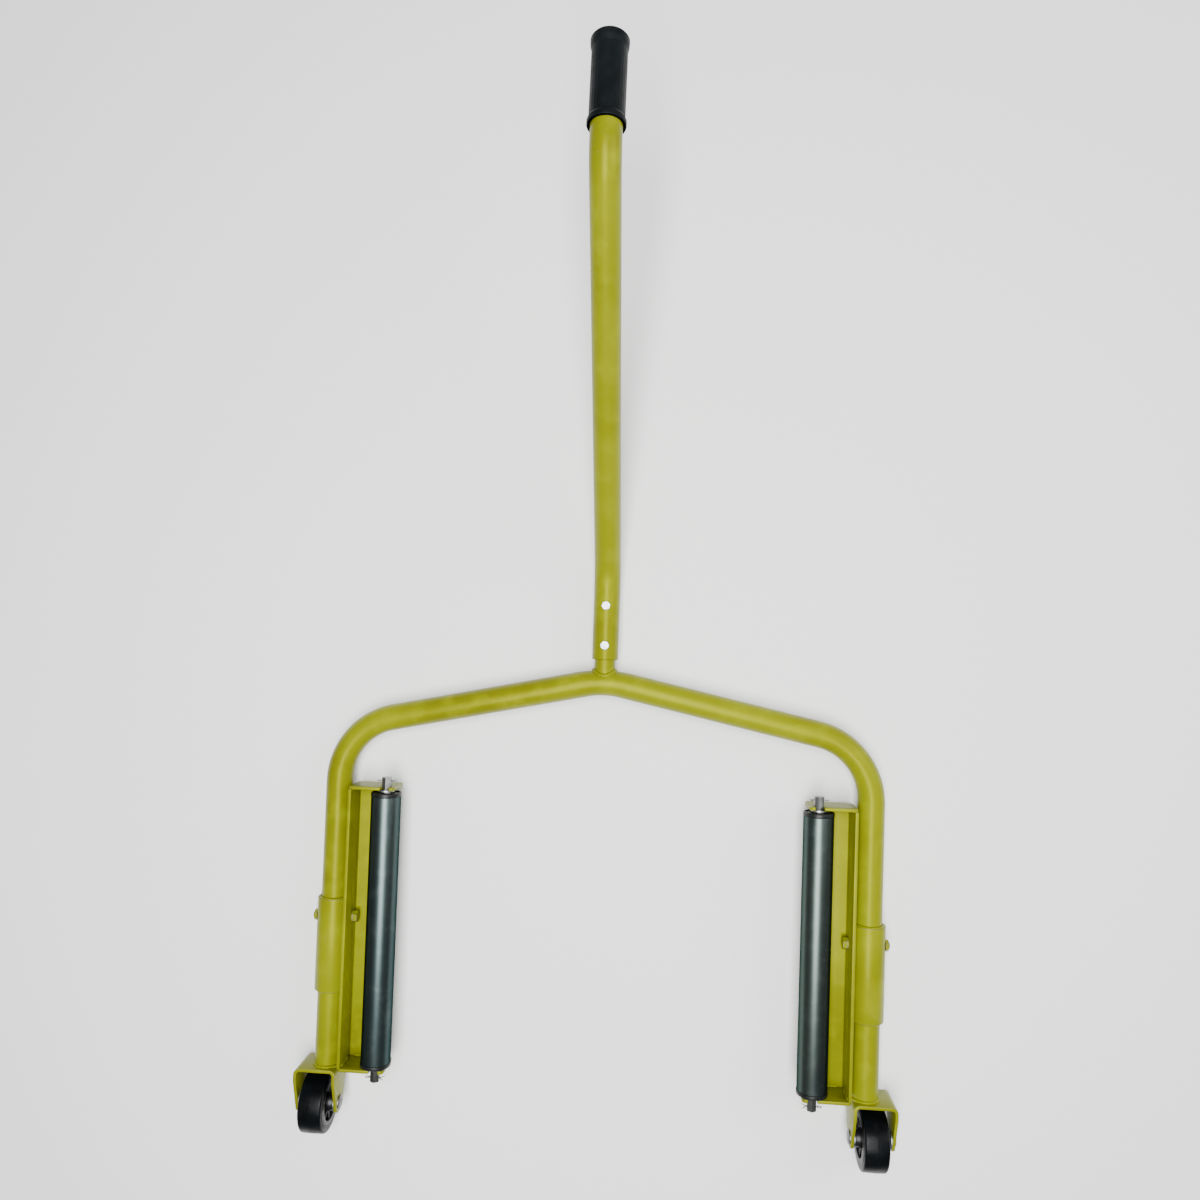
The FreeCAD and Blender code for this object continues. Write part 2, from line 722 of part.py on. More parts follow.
# A strap bent into a U, its cheeks tapered to a round tip at the axle.
def fork():
    body = newBody("fork_right")
    tip = axleAt + size.forkTip
    outerBend = size.forkBend + size.forkWall
    strap = newSketch(body, "XY_Plane")
    left = wheelAt - forkOuter
    right = wheelAt + forkOuter
    addOutline(strap, [
        (left, -tip),
        (left, -size.legEnd, outerBend),
        (right, -size.legEnd, outerBend),
        (right, -tip),
        (right - size.forkWall, -tip),
        (right - size.forkWall, -(size.legEnd + size.forkWall), size.forkBend),
        (left + size.forkWall, -(size.legEnd + size.forkWall), size.forkBend),
        (left + size.forkWall, -tip),
    ])
    addPad(body, strap, size.forkDepth, symmetric=True)
    cheek = newSketch(body, "YZ_Plane")
    half = size.forkDepth / 2
    shoulder = size.legEnd + size.forkShoulder
    beyond = size.forkTip
    for side in (-1, 1):
        addOutline(cheek, [
            (-shoulder, half * side),
            (-tip, size.forkTip * 0.7 * side, size.forkTip * 0.6),
            (-tip, 0),
            (-(tip + beyond), 0),
            (-(tip + beyond), (half + beyond) * side),
            (-shoulder, (half + beyond) * side),
        ])
    cutThrough(body, cheek)
    hole = newSketch(body, "YZ_Plane")
    addCircle(hole, -axleAt, 0, size.axleDiameter / 2 + size.fitGap)
    cutThrough(body, hole)


def onAxle(offset):
    return at(wheelAt + offset, -axleAt, 0, alongX)


# The axle is a rivet with a low head on both sides of the fork.
def axle():
    shank = cylinder(size.axleDiameter / 2, forkOuter * 2, onAxle(-forkOuter))
    outerHead = cylinder(size.rivetHeadOd / 2, size.rivetHead, onAxle(forkOuter))
    innerHead = cylinder(size.rivetHeadOd / 2, size.rivetHead, onAxle(-forkOuter - size.rivetHead))
    rivet = join([shank, outerHead, innerHead])
    bore = size.axleDiameter / 2 + size.fitGap
    bushHalf = forkInner - size.axleWasher
    bush = ring(size.bushOd / 2, bore, bushHalf * 2, onAxle(-bushHalf))
    near = ring(size.axleWasherOd / 2, bore, size.axleWasher, onAxle(bushHalf))
    far = ring(size.axleWasherOd / 2, bore, size.axleWasher, onAxle(-bushHalf - size.axleWasher))
    group("axle_rivets", [rivet, twin(rivet)])
    group("axle_bushes", [bush, twin(bush)])
    group("axle_washers", [near, far, twin(near), twin(far)])


def wheel():
    core = newBody("wheel_core_right")
    bore = size.bushOd / 2 + size.fitGap
    hub = size.wheelOd / 2 * size.hubShare
    rim = size.wheelOd / 2 - size.tyreDepth
    hubHalf = size.hubWidth / 2
    webHalf = size.webWidth / 2
    rimHalf = size.tyreWidth / 2
    under = rim - size.rimWall
    # the boss is a cone that narrows towards its faces
    face, middle, foot = hub * 0.8, hub * 0.9, hub * 0.95
    fillet = (under - foot) * 0.4
    addTurned(core, [
        (-hubHalf, bore),
        (-hubHalf, face, 1),
        (-rimHalf, middle),
        (-webHalf, foot, fillet),
        (-webHalf, under, fillet),
        (-rimHalf, under),
        (-rimHalf, rim),
        (rimHalf, rim),
        (rimHalf, under),
        (webHalf, under, fillet),
        (webHalf, foot, fillet),
        (rimHalf, middle),
        (hubHalf, face, 1),
        (hubHalf, bore),
    ])
    tyre = newBody("tyre_right")
    crown = size.wheelOd / 2
    inside = rim + size.fitGap
    shoulder = size.tyreDepth * 0.3
    addTurned(tyre, [
        (-rimHalf, inside),
        (-rimHalf, crown, shoulder),
        (rimHalf, crown, shoulder),
        (rimHalf, inside),
    ])
    for body in (core, tyre):
        body.Placement = at(wheelAt, -axleAt, 0)
    return core, tyre


# ---- Assembly ----

# The dolly stands on its wheels and on the tip of the upper handle bolt, so the yoke's plane
# falls slightly towards the handle. The row's origin is the middle of its footprint.
def lay():
    radius = size.wheelOd.number / 2
    reach = (axleAt + size.handleBoltHigh + size.handleBoltDiameter / 2).number
    below = (tubeRadius + size.handleWasher + size.handleNut + size.boltTip).number
    fall = math.asin(radius / math.hypot(reach, below)) - math.atan(below / reach)
    tilt = Rotation(Vector(1, 0, 0), -math.degrees(fall))
    axleSpot = tilt.multVec(Vector(0, -axleAt.number, 0))
    lowered = Placement(Vector(0, 0, radius - axleSpot.z), tilt)
    moveAll(lowered)
    front, back = [nodes[label].Shape.optimalBoundingBox(False, False) for label in ("tyre_right", "handle_grip")]
    moveAll(Placement(Vector(0, -(front.YMin + back.YMax) / 2, 0), Rotation()))


# The left twins follow their right-hand sources by themselves.
def moveAll(step):
    for label, item in nodes.items():
        if not label.endswith("_left"):
            item.Placement = step.multiply(item.Placement)
    doc.recompute()


def checkAll():
    for item in doc.Objects:
        if "Invalid" in item.State or "Error" in item.State:
            raise RuntimeError(f"{item.Label} failed: {item.State}")
    for label, item in nodes.items():
        if item.Shape.isNull() or not item.Shape.isValid():
            raise RuntimeError(f"{label} has no sound shape")


yokeTube()
handleStub()
handleTube()
handleGrip()
handleBolts()
sleeve()
rollerRail()
rollerEar("upper_ear_right", railTop - size.railWall)
rollerEar("lower_ear_right", railFoot)
bracketFasteners()
rollerShaft()
rollerTube()
rollerCaps()
bearingRings()
bearingBalls()
floatWashers()
pins = [cotterPin(y) for y in pinPlaces()]
group("cotter_pins", pins + [twin(pin) for pin in pins])
fork()
axle()
wheel()
doc.recompute()
for label in [label for label in nodes if label.endswith("_right")]:
    name(twin(nodes[label]), label.replace("_right", "_left"))
doc.recompute()
lay()
checkAll()

os.makedirs("parts", exist_ok=True)
for label, item in nodes.items():
    item.Shape.exportStep(f"parts/{label}.step")
print(f"{len(nodes)} nodes written")
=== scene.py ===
import json
import math
import random
import bmesh
import bpy
from mathutils import Euler, Matrix, Vector


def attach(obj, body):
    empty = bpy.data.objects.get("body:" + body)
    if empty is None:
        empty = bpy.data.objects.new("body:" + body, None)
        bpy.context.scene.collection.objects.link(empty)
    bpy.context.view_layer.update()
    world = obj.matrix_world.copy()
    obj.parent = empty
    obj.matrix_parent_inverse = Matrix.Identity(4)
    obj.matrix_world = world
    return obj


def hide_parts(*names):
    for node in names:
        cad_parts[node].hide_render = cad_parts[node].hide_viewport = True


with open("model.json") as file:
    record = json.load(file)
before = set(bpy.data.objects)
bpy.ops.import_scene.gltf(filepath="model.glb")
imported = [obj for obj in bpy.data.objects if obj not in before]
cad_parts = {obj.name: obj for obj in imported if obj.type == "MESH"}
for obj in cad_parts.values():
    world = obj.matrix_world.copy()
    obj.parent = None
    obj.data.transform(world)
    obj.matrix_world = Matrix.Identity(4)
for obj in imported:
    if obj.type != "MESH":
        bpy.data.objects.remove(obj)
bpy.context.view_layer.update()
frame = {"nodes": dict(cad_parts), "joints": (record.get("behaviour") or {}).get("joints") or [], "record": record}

# Wheel dolly: a bent tube yoke on two small wheels, two rollers and a cranked handle.
# Pieces are drawn flat in the yoke's own frame, in metres: the origin is where the arms'
# centrelines meet, x to the right, y up the handle, z towards the rollers. layDown then
# tips them as the frame's joints say.
mm = 0.001
mergeGap = 0.000001
nodes = frame["nodes"]
joints = {joint["name"]: joint for joint in frame["joints"]}

yoke = {
    "radius": 16.85 * mm, "wall": 3.2 * mm, "track": 344.5 * mm, "legEnd": 510 * mm,
    "armSlope": 11.9, "cornerRadius": 86 * mm, "crownRadius": 140 * mm,
    "axleBelow": 560 * mm, "around": 72, "bendStep": 2.0, "squash": 0.035,
}


def findLay():
    along = Vector(joints["roller_spin_right"]["axis"]).normalized()
    across = Vector((1, 0, 0))
    turn = Matrix((across, along, across.cross(along))).transposed()
    axle = Vector(joints["wheel_spin_right"]["pos_m"])
    origin = axle - turn @ Vector((axle.x, -yoke["axleBelow"], 0))
    return Matrix.Translation(origin) @ turn.to_4x4()


layDown = findLay()
rollerAt = Vector(joints["roller_spin_right"]["pos_m"])
rollerX = rollerAt.x
rollerZ = (layDown.inverted() @ rollerAt).z
wheelX = joints["wheel_spin_right"]["pos_m"][0]
print("frame loaded,", len(nodes), "nodes")


class Wire:
    def __init__(self, tree, socket):
        self.tree = tree
        self.socket = socket

    def maths(self, operation, first, second):
        node = self.tree.nodes.new("ShaderNodeMath")
        node.operation = operation
        plug(self.tree, node.inputs[0], first)
        plug(self.tree, node.inputs[1], second)
        return Wire(self.tree, node.outputs[0])

    def __add__(self, other):
        return self.maths("ADD", self, other)

    def __radd__(self, other):
        return self.maths("ADD", other, self)

    def __sub__(self, other):
        return self.maths("SUBTRACT", self, other)

    def __rsub__(self, other):
        return self.maths("SUBTRACT", other, self)

    def __mul__(self, other):
        return self.maths("MULTIPLY", self, other)

    def __rmul__(self, other):
        return self.maths("MULTIPLY", other, self)


def plug(tree, socket, value):
    if isinstance(value, Wire):
        tree.links.new(value.socket, socket)
    elif socket.type == "RGBA" and len(value) == 3:
        socket.default_value = (*value, 1)
    else:
        socket.default_value = value


class Finish:
    def __init__(self, name):
        self.material = bpy.data.materials.new(name)
        self.material.use_nodes = True
        self.tree = self.material.node_tree
        self.tree.nodes.clear()
        self.place = self.node("ShaderNodeTexCoord", {}, {}, "Object")

    # any node: its settings first, then its sockets, and which output to go on with
    def node(self, kind, settings, sockets, output=0):
        node = self.tree.nodes.new(kind)
        for key, value in settings.items():
            setattr(node, key, value)
        for key, value in sockets.items():
            plug(self.tree, node.inputs[key], value)
        return Wire(self.tree, node.outputs[output])

    def noise(self, scale, detail=3.0, roughness=0.5, place=None):
        sockets = {"Vector": place or self.place, "Scale": scale, "Detail": detail, "Roughness": roughness}
        return self.node("ShaderNodeTexNoise", {}, sockets, "Fac")

    # 0 below low, 1 above high
    def step(self, value, low, high):
        sockets = {"Value": value, "From Min": low, "From Max": high}
        return self.node("ShaderNodeMapRange", {"interpolation_type": "SMOOTHSTEP"}, sockets)

    def mix(self, amount, first, second):
        return self.node("ShaderNodeMix", {"data_type": "RGBA"}, {0: amount, 6: first, 7: second}, 2)

    def stretch(self, scale, turn=(0, 0, 0)):
        return self.node("ShaderNodeMapping", {}, {"Vector": self.place, "Scale": scale, "Rotation": turn})

    def bump(self, height, distance, strength=1.0, under=None):
        sockets = {"Height": height, "Distance": distance, "Strength": strength}
        if under:
            sockets["Normal"] = under
        return self.node("ShaderNodeBump", {}, sockets)

    def surface(self, sockets):
        shader = self.node("ShaderNodeBsdfPrincipled", {}, sockets)
        output = self.tree.nodes.new("ShaderNodeOutputMaterial")
        self.tree.links.new(shader.socket, output.inputs["Surface"])
        return self.material


# how far a corner is rounded off here, for wear on edges: 0 on a face, 1 on an edge
def edgeMask(finish, radius):
    rounded = finish.node("ShaderNodeBevel", {"samples": 6}, {"Radius": radius})
    flat = finish.node("ShaderNodeNewGeometry", {}, {}, "Normal")
    settings = {"operation": "DOT_PRODUCT"}
    closeness = finish.node("ShaderNodeVectorMath", settings, {0: rounded, 1: flat}, "Value")
    return finish.step(1 - closeness, 0.012, 0.1)


paintLook = {
    "colour": (0.178, 0.194, 0.001), "shade": (0.132, 0.138, 0.001), "fresh": (0.220, 0.244, 0.001),
    "primer": (0.045, 0.032, 0.022), "steel": (0.22, 0.21, 0.19), "dust": (0.24, 0.22, 0.13),
    "gloss": (0.80, 0.80, 0.03),
    "roughness": 0.33, "peel": 0.00005,
}


def makePaint(name, worn):
    look = paintLook
    finish = Finish(name)
    broad = finish.noise(7, 3)
    colour = finish.mix(finish.step(broad, 0.35, 0.65), look["shade"], look["colour"])
    blotch = finish.noise(38, 4)
    colour = finish.mix(finish.step(blotch, 0.45, 0.75) * 0.6, colour, look["fresh"])
    dusty = finish.step(finish.noise(120, 6, 0.7), 0.56, 0.78)
    colour = finish.mix(dusty * 0.09, colour, look["dust"])
    scratchPlace = finish.stretch((900, 16, 900), (0.2, 0.1, 0.35))
    scratch = finish.step(finish.noise(1.0, 2, 0.5, scratchPlace), 0.70, 0.735)
    scratch = scratch * finish.step(finish.noise(9, 2), 0.5, 0.62)
    colour = finish.mix(scratch * 0.35, colour, look["dust"])
    metallic = 0.0
    roughness = look["roughness"] + broad * 0.10 + dusty * 0.12 + scratch * 0.15
    peel = finish.noise(420, 2)
    sag = finish.noise(60, 2)
    normal = finish.bump(peel, look["peel"], 0.55)
    normal = finish.bump(sag, 0.0004, 0.22, normal)
    if worn:
        edge = edgeMask(finish, 0.0011)
        loss = edge * 0.75 + finish.noise(260, 4, 0.65) * 0.55
        chip = finish.step(loss, 0.70, 0.80)
        core = finish.step(loss, 0.84, 0.90)
        colour = finish.mix(chip, colour, look["primer"])
        colour = finish.mix(core, colour, look["steel"])
        metallic = core * 0.9
        roughness = roughness + chip * 0.18
        normal = finish.bump(1 - chip, 0.00012, 0.8, normal)
    return finish.surface({
        "Base Color": colour, "Roughness": roughness, "Metallic": metallic, "Normal": normal,
        "Coat Weight": 0.02, "Coat Roughness": 0.10, "Specular IOR Level": 0.42,
        "Specular Tint": look["gloss"],
    })


rollerLook = {
    "cool": (0.055, 0.077, 0.078), "warm": (0.074, 0.095, 0.085), "pale": (0.115, 0.142, 0.142),
    "white": (0.19, 0.22, 0.21), "edge": (0.22, 0.26, 0.26), "roughness": 0.31,
}
boltLook = {
    "cool": (0.34, 0.38, 0.38), "warm": (0.38, 0.39, 0.36), "pale": (0.48, 0.50, 0.49),
    "white": (0.36, 0.37, 0.36), "edge": (0.42, 0.45, 0.45), "roughness": 0.32,
}


# zinc plate with a blue-green passivation, turned marks round the piece's y axis
def makeZinc(name, look, turned):
    finish = Finish(name)
    broad = finish.noise(11, 3, 0.6, finish.stretch((1, 0.35, 1)))
    colour = finish.mix(finish.step(broad, 0.38, 0.62), look["cool"], look["warm"])
    cloud = finish.noise(55, 4, 0.6)
    colour = finish.mix(finish.step(cloud, 0.48, 0.75) * 0.35, colour, look["pale"])
    bloom = finish.step(finish.noise(180, 6, 0.75), 0.62, 0.74)
    colour = finish.mix(bloom * 0.18, colour, look["white"])
    lines = finish.noise(1.0, 2, 0.6, finish.stretch((6, 2600, 6) if turned else (900, 900, 900)))
    rough = look["roughness"] + cloud * 0.07 + lines * 0.05 + bloom * 0.12
    normal = finish.bump(lines, 0.00002, 0.35)
    normal = finish.bump(finish.noise(30, 2), 0.00012, 0.12, normal)
    return finish.surface({
        "Base Color": colour, "Metallic": 1.0 - bloom * 0.25, "Roughness": rough, "Normal": normal,
        "Specular Tint": look["edge"],
    })


rubberLook = {"grip": (0.0025, 0.0035, 0.004), "tyre": (0.001, 0.0014, 0.0018), "dust": (0.03, 0.03, 0.028)}


def makeRubber(name, colourKey, grain, roughness, dust):
    finish = Finish(name)
    broad = finish.noise(18, 4, 0.6)
    dark = rubberLook[colourKey]
    light = [channel * 2.1 for channel in dark]
    colour = finish.mix(finish.step(broad, 0.35, 0.7), dark, light)
    film = finish.step(finish.noise(75, 6, 0.7), 0.46, 0.78)
    colour = finish.mix(film * dust, colour, rubberLook["dust"])
    pebbles = finish.node("ShaderNodeTexVoronoi", {}, {"Vector": finish.place, "Scale": grain}, "Distance")
    normal = finish.bump(pebbles, 0.00012, 0.35)
    normal = finish.bump(finish.noise(35, 3), 0.0006, 0.12, normal)
    rough = roughness + film * 0.22 + broad * 0.08
    return finish.surface({
        "Base Color": colour, "Roughness": rough, "Normal": normal, "Specular IOR Level": 0.10,
    })


def makePlastic(name, colour, roughness):
    finish = Finish(name)
    cloud = finish.noise(30, 4, 0.6)
    light = [channel * 1.9 + 0.001 for channel in colour]
    tint = finish.mix(finish.step(cloud, 0.35, 0.7), colour, light)
    scuff = finish.step(finish.noise(140, 5, 0.75), 0.60, 0.74)
    tint = finish.mix(scuff * 0.2, tint, rubberLook["dust"])
    spark = finish.noise(1500, 2)
    normal = finish.bump(spark, 0.00003, 0.5)
    rough = roughness + cloud * 0.1 + scuff * 0.2
    return finish.surface({"Base Color": tint, "Roughness": rough, "Normal": normal, "Specular IOR Level": 0.3})


def makeBarSteel(name):
    finish = Finish(name)
    cloud = finish.noise(45, 4, 0.65)
    drawn = finish.noise(1.0, 2, 0.5, finish.stretch((1400, 9, 1400)))
    colour = finish.mix(finish.step(cloud, 0.4, 0.7), (0.22, 0.23, 0.225), (0.12, 0.115, 0.10))
    normal = finish.bump(drawn, 0.00002, 0.4)
    rough = 0.26 + drawn * 0.12 + cloud * 0.14
    return finish.surface({"Base Color": colour, "Metallic": 1.0, "Roughness": rough, "Normal": normal})


paint = makePaint("oliveEnamel", False)
wornPaint = makePaint("oliveEnamelWornEdges", True)
rollerZinc = makeZinc("rollerZinc", rollerLook, True)
brightZinc = makeZinc("brightZinc", boltLook, False)
gripRubber = makeRubber("gripRubber", "grip", 900, 0.40, 0.05)
tyreRubber = makeRubber("tyreRubber", "tyre", 700, 0.27, 0.05)
capPlastic = makePlastic("capNylon", (0.003, 0.004, 0.004), 0.38)
wheelPlastic = makePlastic("wheelPolypropylene", (0.003, 0.003, 0.004), 0.34)
barSteel = makeBarSteel("barSteel")
print("finishes made")


def bevelSharp(bm, offset, segments, angle):
    limit = math.radians(angle)
    edges = [edge for edge in bm.edges if len(edge.link_faces) == 2 and edge.calc_face_angle() > limit]
    bmesh.ops.bevel(bm, geom=edges, offset=offset, affect="EDGES", segments=segments, profile=0.5, material=-1,
                    clamp_overlap=True)


# turns a finished bmesh into a piece that rides on a body and stands for CAD nodes
def addPiece(bm, name, material, body, standsFor=(), smooth=35, lay=True):
    bmesh.ops.remove_doubles(bm, verts=bm.verts, dist=mergeGap)
    bmesh.ops.recalc_face_normals(bm, faces=bm.faces)
    if lay:
        bmesh.ops.transform(bm, matrix=layDown, verts=bm.verts)
    mesh = bpy.data.meshes.new(name)
    bm.to_mesh(mesh)
    bm.free()
    for face in mesh.polygons:
        face.use_smooth = True
    mesh.set_sharp_from_angle(angle=math.radians(smooth))
    mesh.materials.append(material)
    piece = bpy.data.objects.new(name, mesh)
    bpy.context.scene.collection.objects.link(piece)
    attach(piece, body)
    if standsFor:
        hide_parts(*standsFor)


def flipX(bm):
    bmesh.ops.transform(bm, matrix=Matrix.Scale(-1, 4, (1, 0, 0)), verts=bm.verts)
    bmesh.ops.recalc_face_normals(bm, faces=bm.faces)


# the same piece on the right and on the left
def addPair(make, name, material, bodies, standsFor=(), smooth=35):
    for side, body in zip(("right", "left"), bodies):
        bm = make()
        if side == "left":
            flipX(bm)
        stands = [f"{node}_{side}" for node in standsFor]
        addPiece(bm, f"{name}_{side}", material, body, stands, smooth)


def moved(bm, place):
    bmesh.ops.transform(bm, matrix=place, verts=bm.verts)
    return bm


def absorb(bm, other):
    spare = bpy.data.meshes.new("spare")
    other.to_mesh(spare)
    other.free()
    bm.from_mesh(spare)
    bpy.data.meshes.remove(spare)


# a turned piece: outline points (along, out) spun about an axis, then put in place
def turned(outline, place, steps=64, closed=True):
    bm = bmesh.new()
    verts = [bm.verts.new((along, out, 0)) for along, out in outline]
    edges = [bm.edges.new(pair) for pair in zip(verts, verts[1:] + verts[:1] if closed else verts[1:])]
    bmesh.ops.spin(bm, geom=verts + edges, cent=(0, 0, 0), axis=(1, 0, 0), angle=math.tau, steps=steps,
                   use_merge=True, use_duplicate=False)
    bmesh.ops.remove_doubles(bm, verts=bm.verts, dist=mergeGap)
    bmesh.ops.recalc_face_normals(bm, faces=bm.faces)
    return moved(bm, place)


# rounds the outline's corners: (along, out, radius) becomes an arc of short steps
def rounded(corners, steps=5):
    points = []
    for index, corner in enumerate(corners):
        spot = Vector(corner[:2])
        if len(corner) < 3:
            points.append(tuple(spot))
            continue
        before = (Vector(corners[index - 1][:2]) - spot).normalized()
        after = (Vector(corners[(index + 1) % len(corners)][:2]) - spot).normalized()
        half = before.angle(after) / 2
        reach = corner[2] / math.tan(half)
        centre = spot + (before + after).normalized() * (corner[2] / math.sin(half))
        start = spot + before * reach - centre
        sweep = math.pi - 2 * half
        if before.x * after.y - before.y * after.x > 0:
            sweep = -sweep
        for step in range(steps + 1):
            turn = Matrix.Rotation(sweep * step / steps, 2)
            points.append(tuple(centre + turn @ start))
    return points


# the next loop of edges after an extrude or a spin
def extrudeLoop(bm, edges, step):
    grown = bmesh.ops.extrude_edge_only(bm, edges=edges)["geom"]
    verts = [item for item in grown if isinstance(item, bmesh.types.BMVert)]
    bmesh.ops.translate(bm, vec=step, verts=verts)
    return [item for item in grown if isinstance(item, bmesh.types.BMEdge)]


# A bent tube: straight runs and bends in one plane, ending open, with its wall turned in.
# runs is a list of lengths and (angle, radius) bends; up is the bending plane's normal.
def bentTube(start, heading, up, runs, sizes):
    bm = bmesh.new()
    outward = heading.cross(up)
    basis = Matrix((outward, up, heading)).transposed().to_4x4()
    bmesh.ops.create_circle(bm, segments=sizes["around"], radius=sizes["radius"],
                            matrix=Matrix.Translation(start) @ basis)
    edges = list(bm.edges)
    at, direction = start.copy(), heading.copy()
    lipAt(bm, edges, at, -direction, sizes)
    bends = []
    for run in runs:
        if isinstance(run, tuple):
            angle, radius = math.radians(run[0]), run[1]
            side = direction.cross(up) * (-1 if angle > 0 else 1)
            centre = at + side * radius
            steps = max(4, round(abs(run[0]) / sizes["bendStep"]))
            spun = bmesh.ops.spin(bm, geom=edges, cent=centre, axis=up, angle=angle, steps=steps,
                                  use_merge=False, use_duplicate=False)["geom_last"]
            edges = [item for item in spun if isinstance(item, bmesh.types.BMEdge)]
            turn = Matrix.Rotation(angle, 3, up)
            bends.append((centre, radius, at - centre, angle))
            at = centre + turn @ (at - centre)
            direction = turn @ direction
        else:
            count = max(1, round(run / 0.03))
            for _ in range(count):
                edges = extrudeLoop(bm, edges, direction * (run / count))
            at = at + direction * run
    lipAt(bm, edges, at, direction, sizes)
    bmesh.ops.remove_doubles(bm, verts=bm.verts, dist=0.0000005)
    for bend in bends:
        ovalBend(bm, bend, up, sizes)
    return bm


# the tube's cut end: a small round edge, the wall's face and a stretch of bore, closed off
def lipAt(bm, edges, at, outward, sizes):
    radius, wall = sizes["radius"], sizes["wall"]
    edge = wall * 0.18
    for scale, step in (((radius - edge) / radius, edge), ((radius - wall + edge) / (radius - edge), 0),
                        ((radius - wall) / (radius - wall + edge), -edge), (1, -0.03)):
        edges = extrudeLoop(bm, edges, outward * step)
        for vert in {vert for item in edges for vert in item.verts}:
            along = outward * (vert.co - at).dot(outward)
            vert.co = at + along + (vert.co - at - along) * scale
    bmesh.ops.contextual_create(bm, geom=edges)


# a cold bend flattens the tube a little across the bend and widens it the other way
def ovalBend(bm, bend, up, sizes):
    centre, radius, first, angle = bend
    axis = up if angle > 0 else -up
    for vert in bm.verts:
        offset = vert.co - centre
        height = offset.dot(up)
        flat = offset - up * height
        if abs(flat.length - radius) > sizes["radius"] * 1.05 or abs(height) > sizes["radius"] * 1.05:
            continue
        swept = math.atan2(first.cross(flat).dot(axis), first.dot(flat))
        if not 0 < swept < abs(angle):
            continue
        amount = sizes["squash"] * math.sin(math.pi * swept / abs(angle))
        across = flat.length - radius
        newFlat = flat.normalized() * (radius + across * (1 - amount))
        vert.co = centre + newFlat + up * height * (1 + amount * 0.2)


def makeYoke():
    slope = math.radians(yoke["armSlope"])
    turn = 90 - yoke["armSlope"]
    cornerReach = yoke["cornerRadius"] * math.tan(math.radians(turn) / 2)
    crownReach = yoke["crownRadius"] * math.tan(slope)
    armFall = yoke["track"] * math.tan(slope)
    leg = yoke["legEnd"] - armFall - cornerReach
    arm = yoke["track"] / math.cos(slope) - cornerReach - crownReach
    runs = [leg, (-turn, yoke["cornerRadius"]), arm, (-2 * yoke["armSlope"], yoke["crownRadius"]),
            arm, (-turn, yoke["cornerRadius"]), leg]
    start = Vector((-yoke["track"], -yoke["legEnd"], 0))
    bm = bentTube(start, Vector((0, 1, 0)), Vector((0, 0, 1)), runs, yoke)
    addPiece(bm, "yoke", paint, "frame", ["yoke_tube"])


handle = {
    "radius": 16.85 * mm, "wall": 3.2 * mm, "low": 28 * mm, "kneeAt": 137 * mm, "kneeRadius": 95 * mm,
    "rise": 35, "elbowAt": 548 * mm, "elbowRadius": 70 * mm, "drop": 8, "endRun": 127 * mm,
    "around": 72, "bendStep": 2.0, "squash": 0.03,
}


def makeHandle():
    rise, both = math.radians(handle["rise"]), math.radians(handle["rise"] + handle["drop"])
    kneeReach = handle["kneeRadius"] * math.tan(rise / 2)
    elbowReach = handle["elbowRadius"] * math.tan(both / 2)
    climb = (handle["elbowAt"] - handle["kneeAt"]) / math.cos(rise)
    runs = [handle["kneeAt"] - handle["low"] - kneeReach, (handle["rise"], handle["kneeRadius"]),
            climb - kneeReach - elbowReach, (-handle["rise"] - handle["drop"], handle["elbowRadius"]),
            handle["endRun"] - elbowReach]
    bm = bentTube(Vector((0, handle["low"], 0)), Vector((0, 1, 0)), Vector((1, 0, 0)), runs, handle)
    addPiece(bm, "handleTube", paint, "frame", ["handle_tube"])


makeYoke()
makeHandle()
print("tubes bent")


soft = {"edge": 0.6 * mm, "segments": 2, "angle": 42}


# a merged copy of a CAD node with its sharp edges rounded
def soften(node, material, edge=soft["edge"]):
    bm = bmesh.new()
    bm.from_mesh(nodes[node].data)
    bmesh.ops.remove_doubles(bm, verts=bm.verts, dist=0.00001)
    bmesh.ops.dissolve_limit(bm, angle_limit=math.radians(1.5), verts=bm.verts, edges=bm.edges)
    bevelSharp(bm, edge, soft["segments"], soft["angle"])
    body = next(body for body, held in frame["record"]["behaviour"]["bodies"].items() if node in held)
    addPiece(bm, f"{node}_soft", material, body, [node], 30, lay=False)


for side in ("right", "left"):
    for name in ("sleeve", "roller_rail", "upper_ear", "lower_ear", "fork"):
        soften(f"{name}_{side}", wornPaint)
    soften(f"roller_shaft_{side}", barSteel, 0.35 * mm)
soften("handle_stub", paint, 0.3 * mm)

plainNodes = {
    "handle_washers": brightZinc, "sleeve_washers": wornPaint, "roller_washers": brightZinc,
    "axle_washers": brightZinc, "axle_bushes": barSteel,
}
for side in ("right", "left"):
    for name in ("bearing_inner", "bearing_outer", "bearing_balls"):
        plainNodes[f"{name}_{side}"] = barSteel
for node, material in plainNodes.items():
    nodes[node].data.materials.clear()
    nodes[node].data.materials.append(material)
print("CAD nodes finished")


grip = {
    "length": 98 * mm, "cap": 4 * mm, "inner": 16.9 * mm, "outer": 19.15 * mm, "rim": 20.7 * mm,
    "flutes": 0.18 * mm, "fluteCount": 30,
}


